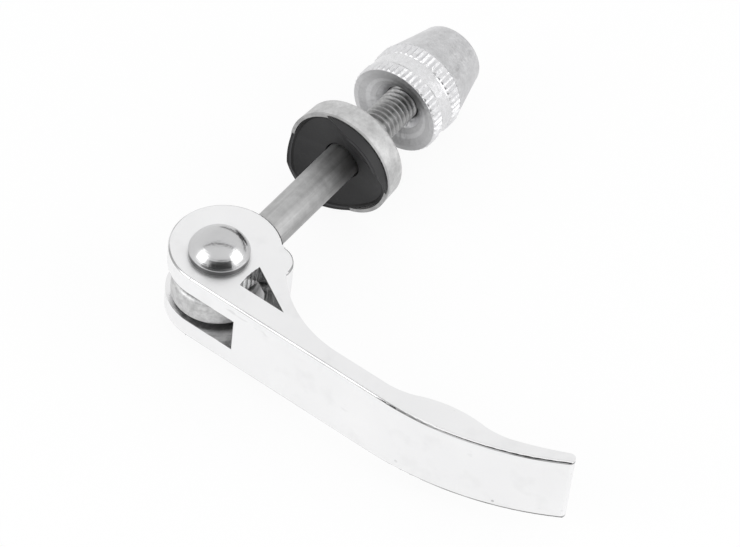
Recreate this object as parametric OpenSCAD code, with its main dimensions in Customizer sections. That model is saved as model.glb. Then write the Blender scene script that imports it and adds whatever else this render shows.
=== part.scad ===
// Quick-release seat binder bolt.
// X runs along the bolt from the lever's head to the nut, Z along the pivot pin.
// The origin is the middle of the washer's flat clamping face, on the bolt's axis.

/* [Lever] */
// Width of the lever across both ears
lever_w = 13.2; // [11:0.1:18]
// Radius of the round eccentric head
head_r = 8.9; // [8.5:0.1:11]
// Distance from the pin's axis to the middle of the head
cam_offset = 1.8; // [0.5:0.1:2.5]
// Length from the middle of the head to the end of the outer face
lever_len = 65.1; // [62:0.1:80]
// Angle by which the outer face leans away from square to the bolt
lean = 2.1; // [0:0.1:5]
// Thickness of the blade behind the neck
blade_t = 3.1; // [2.4:0.1:4.5]
// Radius of the hollow of the neck
neck_r = 20; // [16:0.5:26]
// Distance from the middle of the head to the end of the neck
neck_end = 26; // [24:0.5:30]
// Distance from the middle of the head to the start of the bend
bend_start = 35.7; // [32:0.1:40]
// Radius of the outer face's bend
bend_r = 54; // [48:0.5:70]
// Radius of the inner face's bend, larger so that the blade thins
bend_inner_r = 60; // [57:0.5:80]
// Distance from the middle of the head to the middle of the finger pad
pad_at = 49; // [45:0.5:54]
// Thickness of the blade at the middle of the finger pad
pad_t = 4.55; // [3:0.05:7]
// Radius of the finger pad's round
pad_r = 20; // [12:0.5:30]
// Radius of the hollow that leads into the pad at each end
pad_blend_r = 14; // [6:0.5:20]
// Radius of the round lobe beside the head
lobe_r = 3.8; // [3:0.1:5]
// Sideways distance from the middle of the head to the middle of the lobe
lobe_x = 2.1; // [1:0.1:3]
// Distance down the lever from the middle of the head to the middle of the lobe
lobe_y = 6.8; // [6:0.1:8]
// Radius of the rounding along the outer edges
edge_r = 0.45; // [0.3:0.05:1.2]

/* [Window] */
// Width of the window at its top
window_w = 5.1; // [3:0.1:6]
// Length of the window along the lever
window_l = 8.8; // [5:0.1:10]
// Wall between the window and the outer face
window_wall = 4; // [3:0.1:5]
// Metal left between the pin's head and the window
window_gap = 1.4; // [1:0.1:2.5]
// Radius of the bow of the window's top edge
window_bow_r = 12; // [9:0.5:30]

/* [Pivot] */
// Radius of the pin
pin_r = 2.5; // [2:0.1:3]
// Radius of the pin's domed head
dome_r = 4.8; // [4:0.1:5.5]
// Height of the straight wall under the dome
dome_wall = 1; // [0.5:0.1:2.5]
// Height of the dome above its wall
dome_h = 3.1; // [1.5:0.1:4]
// Radius of the formed head on the far side
rivet_r = 3.9; // [3.2:0.1:4.5]
// Height of the formed head on the far side
rivet_h = 1.2; // [0.6:0.1:2]

/* [Eye bolt] */
// Radius of the eye
eye_r = 7.1; // [6:0.1:8]
// Width of the eye
eye_w = 4.6; // [3.5:0.1:5.5]
// Radius of the rounding round the eye's edges
eye_edge_r = 0.8; // [0.3:0.1:1.5]
// Radius of the shoulder on each side of the eye
shoulder_r = 4.2; // [3.5:0.1:5.5]
// Radius of the rod
rod_r = 3; // [2.5:0.1:3.5]
// Length of the rod inside the nut
rod_grip = 9; // [6:0.5:11]
// Distance from the pin's axis to the washer's clamping face
pin_to_face = 37.5; // [30:0.5:45]
// Width of the free rod between the washer and the nut
nut_gap = 10.6; // [6:0.1:20]

/* [Washer] */
// Radius of the cup at its open rim
cup_r = 9.5; // [9:0.1:12]
// Radius of the cup at its flat face
cup_back_r = 9.3; // [8.5:0.1:12]
// Thickness of the cup from rim to flat face
cup_h = 4.7; // [4:0.1:7]
// Thickness of the cup's side wall
cup_wall = 0.6; // [0.5:0.1:1.5]
// Thickness of the cup's floor
cup_floor = 1.35; // [0.8:0.05:2.5]
// Radius of the rounding round the flat face
cup_edge_r = 0.8; // [0.3:0.1:1.5]

/* [Saddle] */
// Radius of the trough that takes the lever's head
trough_r = 13; // [11:0.5:20]
// Depth of the trough's bottom below the cup's rim
trough_drop = 0.9; // [0.3:0.1:1.5]
// Height of the saddle's horns above the cup's rim
horn_h = 2; // [1:0.1:3]
// Width by which the horns stay inside the cup's rim
horn_inset = 0.2; // [0.1:0.1:0.8]
// Angle by which the trough is turned away from the pin
saddle_turn = 52; // [0:1:90]

/* [Nut] */
// Radius over the knurl
nut_r = 8.05; // [7:0.05:10]
// Length of the nut
nut_l = 16.9; // [14:0.1:22]
// Length of the knurled band next to the rim
knurl_1_l = 2.4; // [1.5:0.1:4]
// Length of the plain groove between the knurled bands
groove_l = 2.5; // [1:0.1:4]
// Length of the knurled band next to the cone
knurl_2_l = 2.75; // [1.5:0.05:4]
// Depth of the knurl's valleys, which is also that of the plain groove
knurl_depth = 0.25; // [0.1:0.05:0.5]
// Width of a knurl ridge at its foot, as a share of the room that it has
knurl_share = 0.75; // [0.5:0.05:0.9]
// Number of ridges round the knurl
knurl_count = 50; // [30:1:70]
// Radius of the cone where the knurl ends
cone_r = 7.85; // [6.5:0.05:9]
// Radius of the nut's small end
tail_r = 5.8; // [4.5:0.1:6.5]
// Radius of the rounding round the small end
tail_edge_r = 1; // [0.5:0.1:2]
// Radius of the recess in the front face
recess_r = 6.1; // [5:0.1:7]
// Depth of the recess in the front face
recess_depth = 0.4; // [0.2:0.1:1]
// Radius of the dished mouth of the thread
mouth_r = 4.3; // [3.8:0.1:5]
// Depth of the dish from the recess to the mouth
dish_depth = 0.8; // [0.2:0.1:1.5]
// Depth of the blind hole beyond the rod's end
hole_spare = 1; // [0.5:0.5:3]

/* [Fits] */
// Gap at the side of the rod and of the eye's shoulders in the slot
slot_clear = 0.15; // [0.08:0.01:0.4]
// Gap between the eye and the floor of the slot
slot_floor_clear = 1.6; // [0.5:0.1:3]
// Radial gap between the pin and the ears
ear_fit = 0.02; // [0.01:0.01:0.1]
// Radial gap between the pin and the eye
eye_fit = 0.08; // [0.02:0.01:0.1]
// Radial gap between the rod and the nut's hole
thread_fit = 0.05; // [0.02:0.01:0.1]
// Radial gap between the rod and the washer
rod_fit = 0.3; // [0.1:0.05:0.5]
// Gap between the saddle and the cup that it turns in
saddle_fit = 0.08; // [0.02:0.01:0.1]

/* [Hidden] */
$fn = 96;

// Extra length by which a cut runs past a face
over = 1;
// Size by which the rounding's circle stands out of the faces, so that it meets them at a clean line
crease = 0.006;
// The same for the hollows beside the pad, and the depth to which their filling runs into the blade
blend_crease = 0.05;
blend_sink = 0.2;
// Angle by which the rounding stops short of the notch at the lobe, or runs past the tip
notch_a = 2;
slot_w = 2 * (rod_r + slot_clear);
// The outer face is the tangent at the side of the head
face_u = -head_r;
blade_u = face_u + blade_t;
// Place of the pin's axis in the lever's own leaning frame
pin_u = -cam_offset * cos(lean);
pin_v = -cam_offset * sin(lean);
slot_floor_v = pin_v - eye_r - slot_floor_clear;
window_top_v = pin_v - dome_r - window_gap;
window_u = face_u + window_wall;
// Middle and angle of the outer face's bend
bend_u = face_u + bend_r;
bend_angle = asin((lever_len - bend_start) / bend_r);
bend_inner_u = blade_u + bend_inner_r;
// Thickness of the blade along a line from the middle of the outer bend
bend_shift = bend_inner_u - bend_u;
function blade_at(a) = bend_r + bend_shift * cos(a)
    - sqrt(pow(bend_inner_r, 2) - pow(bend_shift * sin(a), 2));
tip_t = blade_at(bend_angle);
// Outer face of the bend at a distance down the lever
function bend_face(d) = bend_u - sqrt(pow(bend_r, 2) - pow(d - bend_start, 2));
pad_u = bend_face(pad_at) + pad_t - pad_r;
// Middles of the pad's round and of the inner face's bend
pad_c = [pad_u, -pad_at];
inner_c = [bend_inner_u, -bend_start];
// Where the head and the lobe meet, as angles round the middle of each
lobe_reach = norm([lobe_x, lobe_y]);
lobe_way = atan2(-lobe_y, lobe_x);
head_end_a = lobe_way
    + acos((pow(lobe_reach, 2) + pow(head_r, 2) - pow(lobe_r, 2)) / (2 * lobe_reach * head_r));
lobe_end_a = lobe_way + 180
    - acos((pow(lobe_reach, 2) + pow(lobe_r, 2) - pow(head_r, 2)) / (2 * lobe_reach * lobe_r));
// Places along the bolt
pin_x = -pin_to_face;
rim_x = -cup_h;
pocket_r = cup_r - cup_wall;
rod_end_x = nut_gap + rod_grip;
// Radius and height of the ball that blends the rod into the eye
blend_x = pin_x + pin_r + eye_fit + rod_r;
shoulder_w = slot_w - 2 * slot_clear;
cone_x = knurl_1_l + groove_l + knurl_2_l;
knurl_root_r = nut_r - knurl_depth;
knurl_foot_r = nut_r - knurl_depth / knurl_share;

// Moves to the lever's own frame, with the middle of the head at its origin
module in_lever() translate([pin_x + cam_offset, 0, 0]) rotate([0, 0, -lean]) children();

// Turns a shape made round Z so that it lies along the bolt
module along_bolt(x) translate([x, 0, 0]) rotate([0, 90, 0]) children();

// Points of an arc about a middle, from one angle to another
function arc(c, r, a0, a1, n = 8) =
    [for (i = [0 : n]) c + r * [cos(a0 + (a1 - a0) * i / n), sin(a0 + (a1 - a0) * i / n)]];

// Middle of a hollow that touches the pad's round and the inner face, on one side of the pad
function blend_c(side) = let(
    between = inner_c - pad_c,
    span = norm(between),
    to_pad = pad_r + pad_blend_r,
    to_inner = bend_inner_r - pad_blend_r,
    turn = acos((pow(span, 2) + pow(to_pad, 2) - pow(to_inner, 2)) / (2 * span * to_pad)),
    way = atan2(between[1], between[0]) + side * turn
) pad_c + to_pad * [cos(way), sin(way)];

// Fills the corner beside the pad, up to that hollow
module pad_blend(side) {
    c = blend_c(side);
    to_pad = (pad_c - c) / norm(pad_c - c);
    to_inner = (c - inner_c) / norm(c - inner_c);
    to_corner = (to_pad + to_inner) / norm(to_pad + to_inner);
    difference() {
        polygon([
            c + (pad_blend_r + blend_sink) * to_pad,
            c + (pad_blend_r + blend_sink) * to_inner,
            c + (pad_blend_r + over) * to_corner
        ]);
        translate(c) circle(pad_blend_r + blend_crease, $fn = 120);
    }
}

// Side outline of the lever, in its own frame
module lever_plan() {
    circle(head_r);
    translate([lobe_x, -lobe_y]) circle(lobe_r);
    difference() {
        translate([face_u, -neck_end]) square([lobe_x - face_u, neck_end]);
        translate([blade_u + neck_r, -neck_end]) circle(neck_r, $fn = 180);
    }
    translate([face_u, -bend_start]) square([blade_t, bend_start - neck_end]);
    difference() {
        intersection() {
            translate([bend_u, -bend_start]) circle(bend_r, $fn = 360);
            translate([bend_u, -bend_start]) polygon(2 * bend_r
                * [[0, 0], [-1, 0], [-1, -tan(bend_angle)]]);
        }
        translate(inner_c) circle(bend_inner_r, $fn = 360);
    }
    intersection() {
        translate([bend_u, -bend_start]) circle(bend_r, $fn = 360);
        translate(pad_c) circle(pad_r, $fn = 180);
    }
    pad_blend(1);
    translate([bend_u, -bend_start]) rotate(180 + bend_angle) translate([bend_r - tip_t / 2, 0])
        circle(tip_t / 2, $fn = 32);
}

// Triangular window with a bowed top edge, in the lever's own frame
module window_plan() intersection() {
    polygon([
        [window_u, window_top_v + over],
        [window_u + window_w * (1 + over / window_l), window_top_v + over],
        [window_u, window_top_v - window_l]
    ]);
    translate([window_u + window_w / 2, window_top_v - window_bow_r]) circle(window_bow_r);
}

// What a rounding takes off a square corner at the origin
module edge_waste() translate([-edge_r, -edge_r]) difference() {
    square(edge_r + over);
    circle(edge_r + crease, $fn = 48);
}

// The same waste swept round a middle, at one radius and between two angles
module swept_waste(r, a0, a1) rotate([0, 0, a0]) rotate_extrude(angle = a1 - a0)
    translate([r, lever_w / 2]) edge_waste();

// All the rounding along the outer edges of one side
module outer_edges() {
    swept_waste(head_r, head_end_a + notch_a, 180);
    translate([lobe_x, -lobe_y, 0]) swept_waste(lobe_r, -90, lobe_end_a - 2 * notch_a);
    translate([0, -bend_start, 0]) rotate([90, 0, 180]) linear_extrude(bend_start)
        translate([head_r, lever_w / 2]) edge_waste();
    translate([bend_u, -bend_start, 0]) swept_waste(bend_r, 180, 180 + bend_angle + notch_a);
}

module lever() color([0.90, 0.90, 0.91]) difference() {
    in_lever() difference() {
        union() {
            linear_extrude(lever_w, center = true) lever_plan();
            linear_extrude(lever_w, center = true) pad_blend(-1);
        }
        translate([-2 * head_r, slot_floor_v, -slot_w / 2])
            cube([4 * head_r, 2 * head_r - slot_floor_v, slot_w]);
        linear_extrude(lever_w + 2 * over, center = true) window_plan();
        outer_edges();
        mirror([0, 0, 1]) outer_edges();
    }
    translate([pin_x, 0, 0]) cylinder(h = lever_w + 2 * over, r = pin_r + ear_fit, center = true);
}

module pivot_pin() color([0.82, 0.83, 0.84]) translate([pin_x, 0, 0]) {
    dome_a = 2 * atan(dome_h / dome_r);
    ball_r = dome_r / sin(dome_a);
    rivet_a = 2 * atan(rivet_h / rivet_r);
    rivet_ball_r = rivet_r / sin(rivet_a);
    rotate_extrude() polygon(concat(
        [[0, lever_w / 2 + dome_wall + dome_h - ball_r]],
        [[0, -lever_w / 2 - rivet_h]],
        arc([0, -lever_w / 2 - rivet_h + rivet_ball_r], rivet_ball_r, -90 + rivet_a / 8,
            -90 + rivet_a, 8),
        [[pin_r, -lever_w / 2], [pin_r, lever_w / 2], [dome_r, lever_w / 2]],
        arc([0, lever_w / 2 + dome_wall + dome_h - ball_r], ball_r, 90 - dome_a, 90, 16)
    ));
}

module eye_bolt() color([0.74, 0.75, 0.76]) difference() {
    union() {
        translate([pin_x, 0, 0]) rotate_extrude() polygon(concat(
            [[0, -eye_w / 2]],
            arc([eye_r - eye_edge_r, -eye_w / 2 + eye_edge_r], eye_edge_r, -90, 0),
            arc([eye_r - eye_edge_r, eye_w / 2 - eye_edge_r], eye_edge_r, 0, 90),
            [[0, eye_w / 2]]
        ));
        translate([pin_x, 0, 0]) cylinder(h = shoulder_w, r = shoulder_r, center = true);
        translate([blend_x, 0, 0]) sphere(rod_r);
        along_bolt(blend_x) cylinder(h = rod_end_x - blend_x, r = rod_r);
    }
    translate([pin_x, 0, 0]) cylinder(h = 2 * eye_r, r = pin_r + eye_fit, center = true);
}

module washer_cup() color([0.80, 0.80, 0.80]) along_bolt(0) rotate_extrude() polygon(concat(
    [[rod_r + rod_fit, 0], [rod_r + rod_fit, -cup_floor], [pocket_r, -cup_floor],
        [pocket_r, rim_x], [cup_r, rim_x]],
    arc([cup_back_r - cup_edge_r, -cup_edge_r], cup_edge_r, 0, 90)
));

module saddle() color([0.13, 0.13, 0.14]) difference() {
    union() {
        along_bolt(rim_x - over) cylinder(h = cup_h - cup_floor - saddle_fit + over,
            r = pocket_r - saddle_fit);
        along_bolt(rim_x - horn_h) cylinder(h = horn_h - saddle_fit, r = cup_r - horn_inset);
    }
    translate([rim_x + trough_drop - trough_r, 0, 0]) rotate([-saddle_turn, 0, 0])
        cylinder(h = 4 * cup_r, r = trough_r, center = true, $fn = 180);
    along_bolt(rim_x - 2 * horn_h) cylinder(h = cup_h + 2 * horn_h, r = rod_r + rod_fit);
}

// Star outline whose ridges stand up out of the nut's body
module knurl_plan() polygon([for (i = [0 : 2 * knurl_count - 1])
    (i % 2 == 0 ? nut_r : knurl_foot_r) * [cos(180 * i / knurl_count), sin(180 * i / knurl_count)]]);

// One knurled band with bevelled ends
module knurl_band(x, l) along_bolt(x) intersection() {
    linear_extrude(l) knurl_plan();
    rotate_extrude() polygon([
        [0, 0], [knurl_foot_r, 0], [nut_r, nut_r - knurl_foot_r],
        [nut_r, l - nut_r + knurl_foot_r], [knurl_foot_r, l], [0, l]
    ]);
}

module nut() color([0.85, 0.85, 0.86]) difference() {
    union() {
        along_bolt(nut_gap) rotate_extrude() polygon(concat(
            [[0, 0], [knurl_root_r, 0], [knurl_root_r, cone_x], [cone_r, cone_x]],
            arc([tail_r - tail_edge_r, nut_l - tail_edge_r], tail_edge_r, 0, 90),
            [[0, nut_l]]
        ));
        knurl_band(nut_gap, knurl_1_l);
        knurl_band(nut_gap + knurl_1_l + groove_l, knurl_2_l);
    }
    along_bolt(nut_gap) {
        translate([0, 0, -over]) cylinder(h = over + recess_depth, r = recess_r);
        cylinder(h = recess_depth + dish_depth, r1 = recess_r + (recess_r - mouth_r)
            * recess_depth / dish_depth, r2 = mouth_r);
        translate([0, 0, recess_depth + dish_depth - 0.01])
            cylinder(h = mouth_r - rod_r, r1 = mouth_r, r2 = rod_r);
        cylinder(h = rod_grip + hole_spare, r = rod_r + thread_fit);
    }
}

lever();
pivot_pin();
eye_bolt();
washer_cup();
saddle();
nut();
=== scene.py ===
"""Looks of a quick-release seat binder bolt, laid out as a Blender add-on."""

import math

import bpy
from bpy.props import FloatProperty, FloatVectorProperty, IntProperty, PointerProperty
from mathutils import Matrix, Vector


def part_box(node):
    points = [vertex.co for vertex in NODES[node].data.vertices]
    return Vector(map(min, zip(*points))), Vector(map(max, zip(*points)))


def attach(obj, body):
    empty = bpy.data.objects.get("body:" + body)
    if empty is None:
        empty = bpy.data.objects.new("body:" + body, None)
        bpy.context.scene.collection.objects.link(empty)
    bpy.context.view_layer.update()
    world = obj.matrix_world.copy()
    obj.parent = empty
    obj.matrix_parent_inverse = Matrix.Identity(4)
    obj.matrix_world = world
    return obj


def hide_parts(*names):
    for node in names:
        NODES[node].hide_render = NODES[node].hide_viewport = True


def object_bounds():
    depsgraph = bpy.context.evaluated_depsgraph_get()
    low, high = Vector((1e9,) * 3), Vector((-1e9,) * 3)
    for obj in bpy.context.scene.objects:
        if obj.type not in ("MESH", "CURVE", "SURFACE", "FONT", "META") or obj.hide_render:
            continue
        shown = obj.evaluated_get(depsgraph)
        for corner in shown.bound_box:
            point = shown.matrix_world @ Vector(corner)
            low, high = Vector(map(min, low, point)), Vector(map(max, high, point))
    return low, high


bl_info = {
    "name": "Seat Binder Bolt",
    "version": (1, 0, 0),
    "blender": (4, 5, 0),
    "location": "View3D > Sidebar > Binder Bolt",
    "description": "Makes the threaded eye bolt, the finishes and the studio of a seat binder bolt",
    "category": "Object",
}

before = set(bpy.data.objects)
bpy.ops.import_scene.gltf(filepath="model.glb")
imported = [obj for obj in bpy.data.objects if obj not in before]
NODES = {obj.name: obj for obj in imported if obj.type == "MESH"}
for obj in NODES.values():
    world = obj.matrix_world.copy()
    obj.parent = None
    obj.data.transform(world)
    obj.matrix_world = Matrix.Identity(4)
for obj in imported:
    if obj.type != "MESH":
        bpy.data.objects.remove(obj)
CAD_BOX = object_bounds()
MM = 0.001


def middle_of(node):
    """The middle of a CAD node's box."""
    low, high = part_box(node)
    return [(a + b) / 2 for a, b in zip(low, high)]


def radius_of(node, axis):
    """Half of a CAD node's size along one axis."""
    low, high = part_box(node)
    return (high[axis] - low[axis]) / 2


PIN_X = middle_of("pivot_pin")[0]
WASHER_RIM_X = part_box("washer_cup")[0][0]
NUT_FACE_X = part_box("nut")[0][0]
ROD_END_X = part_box("eye_bolt")[1][0]
EYE_RADIUS = radius_of("eye_bolt", 1)
EAR_TOP_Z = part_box("lever")[1][2]
SADDLE_RADIUS = radius_of("saddle", 1)
NUT_RADIUS = radius_of("nut", 1)

# The rod and its thread
ROD_RADIUS = 3.0 * MM
THREAD_START_X = -2.0 * MM
THREAD_DEPTH = 0.5 * MM
# Length of thread inside the plain rod, in turns
HIDDEN_TURNS = 1.2
# Steps of the crest: from and to, as shares of the pitch, and the rise, as a share of the depth
CREST_STEPS = ((0.2, 0.8, 0.42), (0.32, 0.68, 0.42), (0.45, 0.55, 0.12))
CREST_CUTS = 7

# Steps round the eye and the rod
EYE_SIDES = 128
ROD_SIDES = 96
# Two places this close are the same, and a normal this long upright is upright
TINY = 1e-6
UPRIGHT = 0.9999

# Places on the lever, in its own leaning frame, as in the part's source
CAM_X = PIN_X + 1.8 * MM
LEAN = math.radians(2.1)
SLOT_HALF = 3.15 * MM
SLOT_FLOOR_V = -8.77 * MM
WINDOW_U = -4.9 * MM
WINDOW_TOP_V = -6.27 * MM
WINDOW_W = 5.1 * MM
WINDOW_L = 8.8 * MM
TIP_V = -44 * MM
# Places of the nut's groove and cone, from its face
GROOVE_MIDDLE = 3.65 * MM
GROOVE_WIDTH = 2.2 * MM
CONE_START = 7.65 * MM
RING_PITCH = 0.19 * MM
# Radius of the painted highlight ring on the nut's face
PAINTED_RING_RADIUS = 5.5 * MM

# Widths over which marks fade
SHARP = 0.05 * MM
SOFT = 0.1 * MM
FADE = 0.2 * MM
# Edge and width that draw the middle of a noise out to the whole range from 0 to 1
SPREAD = (0.34, 0.32)

# Indices of node sockets that share their names with others
OBJECT_PLACE = 3
MIX_A, MIX_B, MIX_RESULT = 6, 7, 2
CAMERA_RAY, GLOSSY_RAY, TRANSMISSION_RAY = 0, 3, 6

# Lamps and cards stand at directions in degrees, round the model from +X and above the floor
STAND_DISTANCE = 0.6
SOFTBOXES = {"left_box": (147, 25), "right_box": (-70, 25)}
# Directions of the dark cards, and then their widths and heights in metres
CARDS = {
    "camera_card": (-137, 15, 0.95, 0.5),
    "horizon_card": (180, 4, 0.5, 0.14),
    "back_card": (0, 5, 0.8, 0.1),
    "overhead_card": (33, 83, 1.6, 0.06),
}
CARD_BLACK = (0.02, 0.02, 0.02, 1)
FLOOR_WHITE = (0.88, 0.88, 0.88, 1)
WHITE = (1, 1, 1, 1)
# Shares of the floor that glow, as the camera sees it and as a reflection shows it
FLOOR_GLOW_SEEN = 0.9
FLOOR_GLOW_REFLECTED = 0.75
SENSOR_WIDTH = 36


class EyeBoltSizes(bpy.types.PropertyGroup):
    """Sizes of the eye bolt and its thread."""

    eye_width: FloatProperty(
        name="Eye Width", description="Width of the rounded eye between the lever's ears",
        default=4.6 * MM, unit="LENGTH")
    eye_rounding: FloatProperty(
        name="Eye Rounding", description="Radius of the rounding along the eye's two edges",
        default=0.8 * MM, unit="LENGTH")
    shoulder_radius: FloatProperty(
        name="Shoulder Radius", description="Radius of the flat shoulder round the pin",
        default=4.2 * MM, unit="LENGTH")
    shoulder_height: FloatProperty(
        name="Shoulder Height", description="Height of the shoulder above the eye's side",
        default=0.7 * MM, unit="LENGTH")
    bore_radius: FloatProperty(
        name="Bore Radius", description="Radius of the eye's hole for the pivot pin",
        default=2.58 * MM, unit="LENGTH")
    rod_radius: FloatProperty(
        name="Rod Radius", description="Radius of the plain part of the rod",
        default=ROD_RADIUS, unit="LENGTH")
    thread_start: FloatProperty(
        name="Thread Start", description="Place along the bolt where the thread begins",
        default=THREAD_START_X, unit="LENGTH")
    thread_pitch: FloatProperty(
        name="Thread Pitch", description="Distance from one thread crest to the next",
        default=1.0 * MM, unit="LENGTH")
    thread_depth: FloatProperty(
        name="Thread Depth", description="Depth of the thread below its crest",
        default=THREAD_DEPTH, unit="LENGTH")
    thread_sides: IntProperty(
        name="Thread Sides", description="Number of steps in one turn of the thread",
        default=64, min=12)


class MetalColours(bpy.types.PropertyGroup):
    """Colours and smoothness of the pieces."""

    lever_colour: FloatVectorProperty(
        name="Lever", description="Colour of the polished casting",
        default=(0.95, 0.95, 0.955), subtype="COLOR")
    pin_colour: FloatVectorProperty(
        name="Pin", description="Colour of the plated pin",
        default=(0.57, 0.57, 0.575), subtype="COLOR")
    bolt_colour: FloatVectorProperty(
        name="Bolt", description="Colour of the plated eye bolt",
        default=(0.46, 0.46, 0.46), subtype="COLOR")
    washer_colour: FloatVectorProperty(
        name="Washer", description="Colour of the pressed cup",
        default=(0.6, 0.6, 0.6), subtype="COLOR")
    saddle_colour: FloatVectorProperty(
        name="Saddle", description="Colour of the moulded saddle",
        default=(0.02, 0.02, 0.021), subtype="COLOR")
    nut_colour: FloatVectorProperty(
        name="Nut", description="Colour of the turned nut",
        default=(0.74, 0.74, 0.75), subtype="COLOR")
    lever_roughness: FloatProperty(
        name="Lever Roughness", description="Roughness of the polished casting",
        default=0.34, min=0.0, max=1.0, subtype="FACTOR")
    pin_roughness: FloatProperty(
        name="Pin Roughness", description="Roughness of the pin's dome",
        default=0.17, min=0.0, max=1.0, subtype="FACTOR")
    bolt_roughness: FloatProperty(
        name="Bolt Roughness", description="Roughness of the eye bolt",
        default=0.46, min=0.0, max=1.0, subtype="FACTOR")
    washer_roughness: FloatProperty(
        name="Washer Roughness", description="Roughness of the pressed cup",
        default=0.48, min=0.0, max=1.0, subtype="FACTOR")
    nut_roughness: FloatProperty(
        name="Nut Roughness", description="Roughness of the turned nut",
        default=0.28, min=0.0, max=1.0, subtype="FACTOR")


class StudioSettings(bpy.types.PropertyGroup):
    """Camera, lamps and floor."""

    camera_place: FloatVectorProperty(
        name="Camera Place", description="Where the camera stands",
        default=(-0.39682, -0.23103, 0.47195), subtype="XYZ", unit="LENGTH")
    camera_turn: FloatVectorProperty(
        name="Camera Turn", description="How the camera is turned",
        default=tuple(math.radians(a) for a in (42.2585, -4.9246, -54.9938)),
        subtype="EULER", unit="ROTATION")
    camera_lens: FloatProperty(
        name="Lens", description="Focal length of the camera in millimetres",
        default=200.37)
    box_power: FloatProperty(
        name="Softbox Power", description="Power of each of the two softboxes",
        default=0.9, unit="POWER")
    box_width: FloatProperty(
        name="Softbox Width", description="Width of each softbox",
        default=0.36, unit="LENGTH")
    box_height: FloatProperty(
        name="Softbox Height", description="Height of each softbox",
        default=0.36, unit="LENGTH")
    fill_strength: FloatProperty(
        name="Fill", description="Strength of the even light from all round",
        default=0.92)
    floor_size: FloatProperty(
        name="Floor Size", description="Width of the floor",
        default=6.0, unit="LENGTH")


class Field:
    """A number that varies over a surface. Arithmetic on it adds Math nodes."""

    def __init__(self, finish, socket):
        self.finish = finish
        self.socket = socket

    def math(self, operation, *values, clamp=False):
        """The result of one Math node, fed with the values in their order."""
        settings = {"operation": operation, "use_clamp": clamp}
        return self.finish.node("ShaderNodeMath", settings, dict(enumerate(values)))[0]

    def __add__(self, other):
        return self.math("ADD", self, other)

    def __radd__(self, other):
        return self.math("ADD", other, self)

    def __sub__(self, other):
        return self.math("SUBTRACT", self, other)

    def __rsub__(self, other):
        return self.math("SUBTRACT", other, self)

    def __mul__(self, other):
        return self.math("MULTIPLY", self, other)

    def __rmul__(self, other):
        return self.math("MULTIPLY", other, self)

    def __truediv__(self, other):
        return self.math("DIVIDE", self, other)

    def __pow__(self, other):
        return self.math("POWER", self, other)

    def absolute(self):
        """The number without its sign."""
        return self.math("ABSOLUTE", self)

    def above(self, edge, soft):
        """0 below the edge and 1 above it, over a soft width."""
        return self.math("MULTIPLY", self - edge, 1 / soft, clamp=True)

    def below(self, edge, soft):
        """1 below the edge and 0 above it, over a soft width."""
        return 1 - self.above(edge, soft)


class Finish:
    """A procedural material, built from nodes on Object coordinates."""

    def __init__(self, name):
        self.material = bpy.data.materials.new(name)
        self.material.use_nodes = True
        self.tree = self.material.node_tree
        self.shader = self.tree.nodes["Principled BSDF"]
        self.place = self.node("ShaderNodeTexCoord")[OBJECT_PLACE]
        self.x, self.y, self.z = self.node("ShaderNodeSeparateXYZ", {}, {0: self.place})[:3]

    def node(self, kind, settings=None, sockets=None):
        """Adds a node, its settings first and then its sockets, and returns its outputs."""
        made = self.tree.nodes.new(kind)
        for name, value in (settings or {}).items():
            setattr(made, name, value)
        for name, value in (sockets or {}).items():
            self.feed(made, name, value)
        return [Field(self, socket) for socket in made.outputs]

    def feed(self, node, name, value):
        """Sets or links one socket of a node."""
        if isinstance(value, Field):
            self.tree.links.new(value.socket, node.inputs[name])
        else:
            node.inputs[name].default_value = value

    def set(self, name, value):
        """Sets or links one socket of the shader."""
        self.feed(self.shader, name, value)

    def grain(self, scale, stretch=(1, 1, 1), detail=3.0, roughness=0.5):
        """Soft noise from 0 to 1, drawn out along an axis where its stretch is small."""
        mapped = self.node("ShaderNodeMapping", {}, {"Vector": self.place, "Scale": stretch})[0]
        return self.node("ShaderNodeTexNoise", {}, {
            "Vector": mapped, "Scale": scale, "Detail": detail, "Roughness": roughness})[0]

    def specks(self, scale, size):
        """Scattered spots, 1 inside and 0 outside."""
        far = self.node("ShaderNodeTexVoronoi", {"feature": "F1"},
                        {"Vector": self.place, "Scale": scale})[0]
        return far.below(size, size * 0.5)

    def far_from_pin(self):
        """Distance from the pin's upright axis."""
        x = self.x - PIN_X
        return (x * x + self.y * self.y) ** 0.5

    def far_from_bolt(self):
        """Distance from the bolt's line."""
        return (self.y * self.y + self.z * self.z) ** 0.5

    def colour(self, base, shade):
        """A base colour times a field of shade."""
        grey = self.node("ShaderNodeCombineColor", {}, {0: shade, 1: shade, 2: shade})[0]
        return self.node("ShaderNodeMix", {"data_type": "RGBA", "blend_type": "MULTIPLY"},
                         {"Factor": 1.0, MIX_A: (*base, 1), MIX_B: grey})[MIX_RESULT]

    def metal(self, base, shade, roughness):
        """Makes the material bare metal."""
        self.set("Base Color", self.colour(base, shade))
        self.set("Metallic", 1.0)
        self.set("Roughness", roughness)

    def bump(self, height, distance):
        """Feeds a height into the shader's normal."""
        sockets = {"Height": height, "Distance": distance}
        self.set("Normal", self.node("ShaderNodeBump", {}, sockets)[0])


def near(field, middle, width, soft):
    """1 where a field is within half a width of the middle."""
    return (field - middle).absolute().below(width / 2, soft)


def dim(start, *marks):
    """A number that drops by a share of itself wherever each of the marks is."""
    for mark, share in marks:
        start = start * (1 - mark * share)
    return start


def only(piece):
    """Makes a piece the only one selected, and active."""
    if bpy.context.object and bpy.context.object.mode != "OBJECT":
        bpy.ops.object.mode_set(mode="OBJECT")
    bpy.ops.object.select_all(action="DESELECT")
    piece.select_set(True)
    bpy.context.view_layer.objects.active = piece


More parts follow.
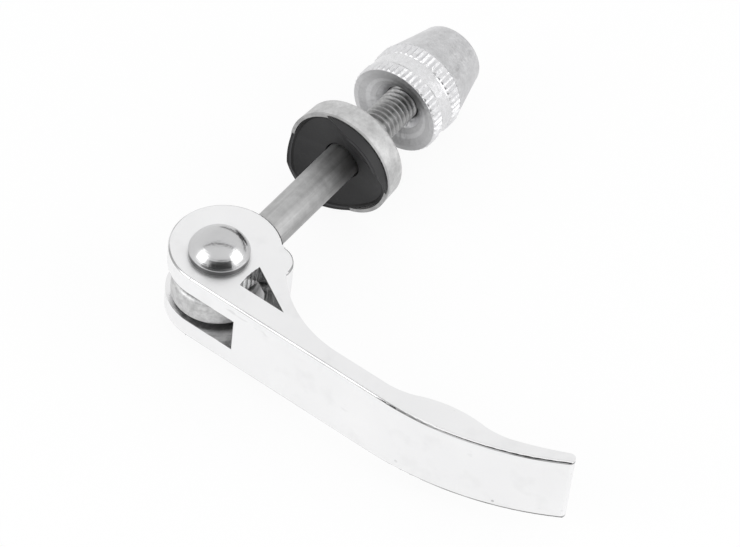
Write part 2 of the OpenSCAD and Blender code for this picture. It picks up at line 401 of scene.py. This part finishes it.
def pick(piece, kind, test):
    """In edit mode, selects only the faces or edges whose middle and direction pass a test."""
    bpy.ops.mesh.select_mode(type=kind)
    bpy.ops.mesh.select_all(action="DESELECT")
    bpy.ops.object.mode_set(mode="OBJECT")
    mesh = piece.data
    for face in mesh.polygons if kind == "FACE" else []:
        face.select = test(face.center, face.normal)
    for edge in mesh.edges if kind == "EDGE" else []:
        a, b = (mesh.vertices[i].co for i in edge.vertices)
        edge.select = test((a + b) / 2, b - a)
    bpy.ops.object.mode_set(mode="EDIT")


def round_pin(at):
    """Whether a place is less than a millimetre from the pin's axis."""
    return (at.xy - Vector((PIN_X, 0))).length < MM


def place_in_mesh(piece):
    """Moves a piece's place, turn and size into its mesh."""
    only(piece)
    bpy.ops.object.transform_apply(location=True, rotation=True, scale=True)


def smooth(piece, angle=32):
    """Shades a piece smooth, apart from its edges that are sharper than an angle."""
    only(piece)
    bpy.ops.object.shade_smooth_by_angle(angle=math.radians(angle))


def apply_modifier(piece, kind, **settings):
    """Adds one modifier with its settings and applies it."""
    only(piece)
    modifier = piece.modifiers.new(kind.title(), kind)
    for name, value in settings.items():
        setattr(modifier, name, value)
    bpy.ops.object.modifier_apply(modifier=modifier.name)


def turned_cylinder(name, radius, start, end):
    """A cylinder along the bolt's axis, from start to end."""
    bpy.ops.object.select_all(action="DESELECT")
    bpy.ops.mesh.primitive_cylinder_add(
        vertices=ROD_SIDES, radius=radius, depth=end - start,
        location=((start + end) / 2, 0, 0), rotation=(0, math.pi / 2, 0))
    piece = bpy.context.object
    piece.name = name
    place_in_mesh(piece)
    return piece


def dress(node, finish):
    """Gives a CAD node a finish."""
    for slot in NODES[node].material_slots:
        slot.material = finish.material


def lever_axes(finish):
    """Places across and along the lever, in its own leaning frame."""
    x, y = finish.x - CAM_X, finish.y
    return x * math.cos(LEAN) - y * math.sin(LEAN), x * math.sin(LEAN) + y * math.cos(LEAN)


def polished_casting(look):
    """Bright cast metal with faint wear, painted shade on its flat faces, window and slot, and
    painted reflections along its edges and in the slot.
    """
    finish = Finish("polished_casting")
    across, along = lever_axes(finish)
    side = finish.z.absolute()
    # The flat top and bottom faces, which the shade below paints a tenth darker: painted shade for
    # how they catch the light
    flat = side.above(EAR_TOP_Z - SHARP, 0.03 * MM)
    edge = side.above(EAR_TOP_Z - 0.5 * MM, SOFT) * (1 - flat)

    # Wear from polishing and use
    broad = finish.grain(75)
    smudge = finish.grain(230).above(0.56, 0.14)
    fine = finish.grain(700, detail=4.0)
    scratches = (finish.grain(1700, stretch=(1, 0.12, 0.45), detail=2.0).above(0.66, 0.06)
                 * (1 - flat) * finish.grain(95, detail=1.0).above(0.52, 0.12))
    nicks = finish.specks(300, 0.07) * finish.grain(120, detail=1.0).above(0.63, 0.03)

    # Painted reflection: the broken dark line along the rounded edges, lower and stronger towards
    # the tip
    tip = along.below(TIP_V, 7 * MM)
    painted_dark_line = near(side, EAR_TOP_Z - 0.17 * MM - tip * 0.19 * MM, 0.26 * MM, 0.08 * MM)
    breaks = 0.4 + 0.6 * finish.grain(300, stretch=(1, 0.2, 1)).above(0.4, 0.2)
    painted_dark_line = painted_dark_line * breaks * (1 + tip * 0.3) * (1 - flat)

    # Painted shade on the walls of the window, strongest on the steep one and streaked on the
    # others, painted shade inside the slot, and a painted reflection of the eye on the slot's lower
    # wall
    slope = (across - WINDOW_U) / WINDOW_W - (along - WINDOW_TOP_V + WINDOW_L) / WINDOW_L
    hole = (across.above(WINDOW_U - 0.3 * MM, SOFT) * along.below(WINDOW_TOP_V + FADE, SOFT)
            * slope.below(0.06, 0.02) * side.below(EAR_TOP_Z - 0.12 * MM, SHARP))
    steep = slope.above(-0.06, 0.02)
    streaks = finish.grain(1500, stretch=(1, 1, 0.03), detail=2.0).above(0.42, 0.16)
    painted_wall_shade = 0.04 + 0.44 * steep + 0.56 * (1 - streaks) * (1 - steep)
    slot = side.below(SLOT_HALF + SHARP, SHARP) * along.above(SLOT_FLOOR_V - SOFT, SHARP)
    painted_eye_reflection = slot * near(finish.far_from_pin(), EYE_RADIUS + 1.9 * MM, 0.5 * MM, 0.35 * MM)

    shade = dim(0.95 + broad * 0.1, (flat, 0.1), (smudge, 0.035), (scratches, 0.12),
                (nicks, 0.35), (painted_dark_line, 0.6), (hole, painted_wall_shade), (slot, 0.14)) * (1 + painted_eye_reflection * 0.3)
    roughness = dim(look.lever_roughness, (edge, 0.6), (hole, 0.5), (slot, 0.6)) + fine * 0.06
    finish.metal(look.lever_colour, shade, roughness)
    finish.bump(broad + smudge * 0.1 + fine * 0.06 - scratches * 0.1 - nicks * 0.25
                + streaks * hole * 0.5, 0.12 * MM)
    return finish


def plated_dome(look):
    """Bright plating with a faint smear, and painted shade on the low wall where the head meets the
    ear.
    """
    finish = Finish("plated_dome")
    smear = finish.grain(260, stretch=(1, 1, 0.5))
    # Painted shade on the low wall of the head, where it sits on the ear
    painted_seam_shade = near(finish.z, EAR_TOP_Z + 0.3 * MM, 0.9 * MM, 0.15 * MM)
    finish.metal(look.pin_colour, dim(0.9 + smear * 0.2, (painted_seam_shade, 0.8)),
                 look.pin_roughness + smear * 0.08)
    finish.bump(smear, 0.14 * MM)
    return finish


def drawn_plating(look):
    """Plated steel, drawn along the bolt, brighter on the eye, with painted shade between the
    threads.
    """
    finish = Finish("drawn_plating")
    streaks = finish.grain(2200, stretch=(0.03, 1, 1), detail=4.0).above(*SPREAD)
    cloud = finish.grain(800, detail=4.0, roughness=0.6).above(*SPREAD)
    drawn = finish.grain(700, stretch=(0.04, 1, 1), detail=2.0).above(0.42, 0.16)
    threaded = finish.x.above(THREAD_START_X - SOFT, FADE)
    # Painted shade in the roots between the thread's crests
    root = finish.far_from_bolt().below(ROD_RADIUS - THREAD_DEPTH / 2, 0.3 * MM) * threaded
    eye = finish.far_from_pin().below(EYE_RADIUS + SOFT, FADE)
    shade = dim(0.74 + streaks * 0.2 + cloud * 0.14 + drawn * 0.14, (root, 0.2)) * (1 + eye * 0.35)
    finish.metal(look.bolt_colour, shade, look.bolt_roughness + streaks * 0.08 - threaded * 0.14)
    finish.bump(streaks * 0.3 + drawn * 0.3 + cloud, 0.02 * MM)
    return finish


def satin_pressing(look):
    """Tumbled pressed metal with cloudy patches, and painted shade along its lip."""
    finish = Finish("satin_pressing")
    cloud = finish.grain(1300, detail=4.0, roughness=0.7).above(*SPREAD)
    patch = finish.grain(380).above(0.36, 0.28)
    # Painted shade along the lip, where the saddle sits in the cup
    painted_lip_shade = finish.x.below(WASHER_RIM_X + 0.35 * MM, FADE)
    finish.metal(look.washer_colour, dim(0.74 + cloud * 0.24 + patch * 0.22, (painted_lip_shade, 0.25)),
                 look.washer_roughness + cloud * 0.14)
    finish.bump(cloud * 0.6 + patch, 0.04 * MM)
    return finish


def moulded_black(look):
    """Black plastic with a fine grain, scuffs, and a moulded groove darkened by painted shade
    inside a rim lit by a painted highlight.
    """
    finish = Finish("moulded_black")
    grain = finish.grain(2600, detail=2.0)
    rubbed = finish.grain(230, stretch=(1, 0.35, 1), detail=4.0).above(0.5, 0.25)
    far = finish.far_from_bolt()
    # A groove, bumped in and darkened with painted shade, and beside it a rim lightened with a
    # painted highlight
    painted_dark_line = near(far, SADDLE_RADIUS - 0.8 * MM, 0.26 * MM, SOFT)
    rim = near(far, SADDLE_RADIUS - 0.5 * MM, 0.2 * MM, 0.12 * MM)
    contour = near(finish.grain(200, stretch=(1, 0.4, 1), detail=2.0), 0.5, 0.012, 0.01)
    scuffs = contour * rubbed
    shade = dim(0.85 + rubbed * 0.35 + scuffs * 1.4 + rim * 1.6, (painted_dark_line, 0.75))
    finish.set("Base Color", finish.colour(look.saddle_colour, shade))
    finish.set("Roughness", 0.46 + grain * 0.12 - scuffs * 0.1)
    finish.set("Specular IOR Level", 0.42)
    finish.bump(grain * 0.3 + rubbed * 0.3 - painted_dark_line * 1.2, 0.08 * MM)
    return finish


def turned_metal(look):
    """Turned metal, with rings, painted shade and painted highlights on its face, and a tumbled,
    cloudy cone lit on one side by painted light.
    """
    finish = Finish("turned_metal")
    far = finish.far_from_bolt()
    rings = far.math("SINE", far * (2 * math.pi / RING_PITCH)) * 0.5 + 0.5
    on_face = finish.x.below(NUT_FACE_X + 1.2 * MM, SOFT) * far.below(NUT_RADIUS - 0.3 * MM, SOFT)
    # Painted shade, darker towards the bottom of the face
    painted_lower_shade = finish.z.below(0.0, 6 * MM)
    groove = near(finish.x, NUT_FACE_X + GROOVE_MIDDLE, GROOVE_WIDTH, FADE)
    cone = finish.x.above(NUT_FACE_X + CONE_START, 0.3 * MM)
    cloud = finish.grain(1300, detail=4.0, roughness=0.65).above(*SPREAD)
    patch = finish.grain(320, stretch=(0.5, 1, 1)).above(0.36, 0.28)

    # Painted shade on the face, less along a painted fan of highlight through the middle, where
    # turned rings would catch the light, and less on a painted highlight ring
    across = finish.y - finish.z * 0.25
    painted_fan_highlight = across * across / (far * far + 1e-9)
    painted_ring_highlight = near(far, PAINTED_RING_RADIUS, 0.5 * MM, FADE)
    painted_face_shade = 0.46 - painted_fan_highlight * 0.38 - painted_ring_highlight * 0.16
    # The tumbled cone is darker, and painted light makes its +Y side lighter
    cone_tone_and_side_light = 0.2 - patch * 0.14 - finish.y.above(-3 * MM, 6 * MM) * 0.08

    shade = dim(0.92 + cloud * 0.14, (on_face, painted_face_shade), (on_face * painted_lower_shade, 0.14),
                (cone, cone_tone_and_side_light))
    roughness = look.nut_roughness + cloud * 0.14 + cone * 0.08 - groove * 0.12
    finish.metal(look.nut_colour, shade, roughness)
    finish.bump(rings * on_face * 0.3 + (cloud + patch) * (1 - groove), 0.04 * MM)
    return finish


class BINDERBOLT_OT_eye_bolt(bpy.types.Operator):
    """Make the eye bolt, with its shoulders, plain rod and thread"""

    bl_idname = "binderbolt.eye_bolt"
    bl_label = "Eye Bolt"

    def execute(self, context):
        sizes = context.scene.eye_bolt_sizes
        eye = self.eye(sizes)
        rod = self.rod(sizes)
        only(eye)
        rod.select_set(True)
        bpy.ops.object.join()
        smooth(eye)
        thread = self.thread(sizes)
        smooth(thread, 20)
        finish = drawn_plating(context.scene.metal_colours)
        for piece in (eye, thread):
            piece.data.materials.append(finish.material)
            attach(piece, "bolt")
        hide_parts("eye_bolt")
        return {"FINISHED"}

    def eye(self, sizes):
        """The rounded eye with a shoulder on each side and a hole for the pin."""
        bpy.ops.object.select_all(action="DESELECT")
        bpy.ops.mesh.primitive_cylinder_add(
            vertices=EYE_SIDES, radius=EYE_RADIUS, depth=sizes.eye_width, location=(PIN_X, 0, 0))
        eye = bpy.context.object
        eye.name = "eye_and_rod"
        place_in_mesh(eye)
        bpy.ops.object.mode_set(mode="EDIT")
        rim = sizes.eye_width / 2
        pick(eye, "EDGE", lambda at, way: abs(abs(at.z) - rim) < TINY)
        bpy.ops.mesh.bevel(offset=sizes.eye_rounding, segments=6, affect="EDGES")
        pick(eye, "FACE", lambda at, normal: abs(normal.z) > UPRIGHT)
        bpy.ops.mesh.inset(thickness=EYE_RADIUS - sizes.eye_rounding - sizes.shoulder_radius)
        rise = sizes.shoulder_height
        for side in (-1, 1):
            pick(eye, "FACE", lambda at, normal: normal.z * side > UPRIGHT and round_pin(at))
            bpy.ops.mesh.extrude_region_move(TRANSFORM_OT_translate={"value": (0, 0, side * rise)})
        top = rim + rise
        pick(eye, "FACE", lambda at, normal: abs(abs(at.z) - top) < TINY)
        bpy.ops.mesh.inset(thickness=sizes.shoulder_radius - sizes.bore_radius)
        pick(eye, "FACE", lambda at, normal: abs(abs(at.z) - top) < TINY and round_pin(at))
        bpy.ops.mesh.bridge_edge_loops()
        bpy.ops.mesh.select_all(action="SELECT")
        bpy.ops.mesh.normals_make_consistent(inside=False)
        bpy.ops.object.mode_set(mode="OBJECT")
        return eye

    def rod(self, sizes):
        """The plain rod, with a round end inside the eye and a bevel where the thread begins."""
        start = PIN_X + sizes.bore_radius + 0.01 * MM
        rod = turned_cylinder("rod", sizes.rod_radius, start, sizes.thread_start)
        bpy.ops.object.mode_set(mode="EDIT")
        pick(rod, "EDGE", lambda at, way: at.x < start + TINY)
        bpy.ops.mesh.bevel(offset=sizes.rod_radius * 0.98, segments=10, affect="EDGES")
        pick(rod, "EDGE", lambda at, way: at.x > sizes.thread_start - TINY)
        bpy.ops.mesh.bevel(offset=sizes.thread_depth * 0.8, segments=2, affect="EDGES")
        bpy.ops.object.mode_set(mode="OBJECT")
        return rod

    def thread(self, sizes):
        """The thread, one crest wound along the rod, from inside the plain rod to the nut."""
        pitch = sizes.thread_pitch
        root = sizes.rod_radius - sizes.thread_depth
        start = sizes.thread_start - HIDDEN_TURNS * pitch
        turns = int((ROD_END_X - start) / pitch) - 1
        bpy.ops.object.select_all(action="DESELECT")
        bpy.ops.mesh.primitive_plane_add(
            size=pitch, location=(start + pitch / 2, root + pitch / 2, 0))
        thread = bpy.context.object
        thread.name = "thread"
        place_in_mesh(thread)
        bpy.ops.object.mode_set(mode="EDIT")
        pick(thread, "EDGE", lambda at, way: at.y > root + pitch / 4)
        bpy.ops.mesh.delete(type="EDGE")
        bpy.ops.mesh.select_all(action="SELECT")
        bpy.ops.mesh.subdivide(number_cuts=CREST_CUTS)
        bpy.ops.object.mode_set(mode="OBJECT")
        self.shape_crest(thread, start, sizes)
        apply_modifier(
            thread, "SCREW", axis="X", screw_offset=pitch, iterations=turns,
            steps=sizes.thread_sides, render_steps=sizes.thread_sides,
            use_merge_vertices=True, merge_threshold=TINY)
        bpy.ops.object.mode_set(mode="EDIT")
        bpy.ops.mesh.select_all(action="SELECT")
        bpy.ops.mesh.remove_doubles(threshold=TINY)
        bpy.ops.mesh.fill_holes(sides=0)
        bpy.ops.mesh.select_all(action="SELECT")
        bpy.ops.mesh.normals_make_consistent(inside=True)
        bpy.ops.object.mode_set(mode="OBJECT")
        return thread

    def shape_crest(self, thread, start, sizes):
        """Raises the middle of the profile line to the crest, with sloping flanks."""
        only(thread)
        bpy.ops.object.mode_set(mode="EDIT")
        for low, high, rise in CREST_STEPS:
            bpy.ops.mesh.select_mode(type="VERT")
            bpy.ops.mesh.select_all(action="DESELECT")
            bpy.ops.object.mode_set(mode="OBJECT")
            for point in thread.data.vertices:
                along = (point.co.x - start) / sizes.thread_pitch
                point.select = low < along < high
            bpy.ops.object.mode_set(mode="EDIT")
            bpy.ops.transform.translate(value=(0, sizes.thread_depth * rise, 0))
        bpy.ops.object.mode_set(mode="OBJECT")


class BINDERBOLT_OT_finishes(bpy.types.Operator):
    """Give each of the six CAD pieces its finish"""

    bl_idname = "binderbolt.finishes"
    bl_label = "Finishes"

    def execute(self, context):
        look = context.scene.metal_colours
        dress("lever", polished_casting(look))
        dress("pivot_pin", plated_dome(look))
        dress("washer_cup", satin_pressing(look))
        dress("saddle", moulded_black(look))
        dress("nut", turned_metal(look))
        dress("eye_bolt", drawn_plating(look))
        return {"FINISHED"}


class BINDERBOLT_OT_studio(bpy.types.Operator):
    """Set the floor, the even light, the lamps, the dark cards and the camera"""

    bl_idname = "binderbolt.studio"
    bl_label = "Studio"

    def execute(self, context):
        studio = context.scene.studio_settings
        self.floor(studio)
        self.world(context, studio)
        for name, (turn, rise) in SOFTBOXES.items():
            self.softbox(name, turn, rise, studio)
        for name, (turn, rise, width, height) in CARDS.items():
            self.card(name, turn, rise, width, height)
        self.camera(context, studio)
        return {"FINISHED"}

    def floor(self, studio):
        """A white floor that keeps a faint shadow."""
        bpy.ops.object.select_all(action="DESELECT")
        low = CAD_BOX[0][2]
        bpy.ops.mesh.primitive_plane_add(size=studio.floor_size, location=(0, 0, low))
        floor = bpy.context.object
        floor.name = "floor"
        finish = Finish("floor_white")
        finish.set("Base Color", FLOOR_WHITE)
        finish.set("Roughness", 0.9)
        finish.set("Specular IOR Level", 0.0)
        plain = Field(finish, finish.shader.outputs[0])
        glow = finish.node("ShaderNodeEmission", {}, {"Color": WHITE, "Strength": 1.0})[0]
        rays = finish.node("ShaderNodeLightPath")
        seen = rays[CAMERA_RAY] * FLOOR_GLOW_SEEN
        reflected = seen.math("MAXIMUM", rays[GLOSSY_RAY], rays[TRANSMISSION_RAY])
        share = seen.math("MAXIMUM", seen, reflected * FLOOR_GLOW_REFLECTED)
        mixed = finish.node("ShaderNodeMixShader", {}, {0: share, 1: plain, 2: glow})[0]
        output = finish.tree.nodes["Material Output"]
        finish.feed(output, "Surface", mixed)
        floor.data.materials.append(finish.material)

    def world(self, context, studio):
        """An even fill, white where the camera, metal or glass looks at it."""
        world = bpy.data.worlds.new("studio_world")
        context.scene.world = world
        world.use_nodes = True
        tree = world.node_tree
        rays = tree.nodes.new("ShaderNodeLightPath")
        first = tree.nodes.new("ShaderNodeMath")
        first.operation = "MAXIMUM"
        second = tree.nodes.new("ShaderNodeMath")
        second.operation = "MAXIMUM"
        tree.links.new(rays.outputs["Is Camera Ray"], first.inputs[0])
        tree.links.new(rays.outputs["Is Glossy Ray"], first.inputs[1])
        tree.links.new(first.outputs[0], second.inputs[0])
        tree.links.new(rays.outputs["Is Transmission Ray"], second.inputs[1])
        strength = tree.nodes.new("ShaderNodeMapRange")
        strength.inputs["To Min"].default_value = studio.fill_strength
        strength.inputs["To Max"].default_value = 1.0
        tree.links.new(second.outputs[0], strength.inputs["Value"])
        background = tree.nodes["Background"]
        background.inputs["Color"].default_value = WHITE
        tree.links.new(strength.outputs["Result"], background.inputs["Strength"])

    def stand_at(self, piece, turn, rise):
        """Stands a lamp or card at a direction in degrees, facing the pin, its width level."""
        turn, rise = math.radians(turn), math.radians(rise)
        level = math.cos(rise)
        way = Vector((math.cos(turn) * level, math.sin(turn) * level, math.sin(rise)))
        piece.location = way * STAND_DISTANCE + Vector((PIN_X, 0, 0))
        piece.rotation_euler = (-way).to_track_quat("-Z", "Y").to_euler()

    def softbox(self, name, turn, rise, studio):
        """A softbox, to the left or right of the camera."""
        lamp = bpy.data.lights.new(name, "AREA")
        lamp.shape = "RECTANGLE"
        lamp.size, lamp.size_y = studio.box_width, studio.box_height
        lamp.energy = studio.box_power
        stand = bpy.data.objects.new(name, lamp)
        bpy.context.scene.collection.objects.link(stand)
        self.stand_at(stand, turn, rise)

    def card(self, name, turn, rise, width, height):
        """A dark card that shows only as a reflection."""
        bpy.ops.object.select_all(action="DESELECT")
        bpy.ops.mesh.primitive_plane_add(size=1)
        card = bpy.context.object
        card.name = name
        card.scale = (width, height, 1)
        self.stand_at(card, turn, rise)
        finish = Finish(name + "_dark")
        finish.set("Base Color", CARD_BLACK)
        finish.set("Roughness", 1.0)
        card.data.materials.append(finish.material)
        card.visible_camera = False
        card.visible_diffuse = False
        card.visible_shadow = False

    def camera(self, context, studio):
        """The camera of the photo."""
        lens = bpy.data.cameras.new("camera")
        lens.sensor_fit = "HORIZONTAL"
        lens.sensor_width = SENSOR_WIDTH
        lens.lens = studio.camera_lens
        lens.clip_start, lens.clip_end = 0.01, 20
        camera = bpy.data.objects.new("camera", lens)
        camera.location = studio.camera_place
        camera.rotation_euler = studio.camera_turn
        context.scene.collection.objects.link(camera)
        context.scene.camera = camera
        context.scene.view_settings.view_transform = "Standard"


class BINDERBOLT_PT_panel(bpy.types.Panel):
    """Lists the pieces in the order in which they are made"""

    bl_idname = "BINDERBOLT_PT_panel"
    bl_label = "Seat Binder Bolt"
    bl_space_type = "VIEW_3D"
    bl_region_type = "UI"
    bl_category = "Binder Bolt"

    def draw(self, context):
        for step in STEPS:
            self.layout.operator(step.bl_idname)


STEPS = (BINDERBOLT_OT_eye_bolt, BINDERBOLT_OT_finishes, BINDERBOLT_OT_studio)
GROUPS = {
    "eye_bolt_sizes": EyeBoltSizes,
    "metal_colours": MetalColours,
    "studio_settings": StudioSettings,
}
CLASSES = (*GROUPS.values(), *STEPS, BINDERBOLT_PT_panel)


def register():
    for cls in CLASSES:
        bpy.utils.register_class(cls)
    for name, group in GROUPS.items():
        setattr(bpy.types.Scene, name, PointerProperty(type=group))


def unregister():
    for name in GROUPS:
        delattr(bpy.types.Scene, name)
    for cls in reversed(CLASSES):
        bpy.utils.unregister_class(cls)


def main():
    """Makes everything in order."""
    register()
    bpy.ops.binderbolt.eye_bolt()
    bpy.ops.binderbolt.finishes()
    bpy.ops.binderbolt.studio()


if __name__ == "__main__":
    main()
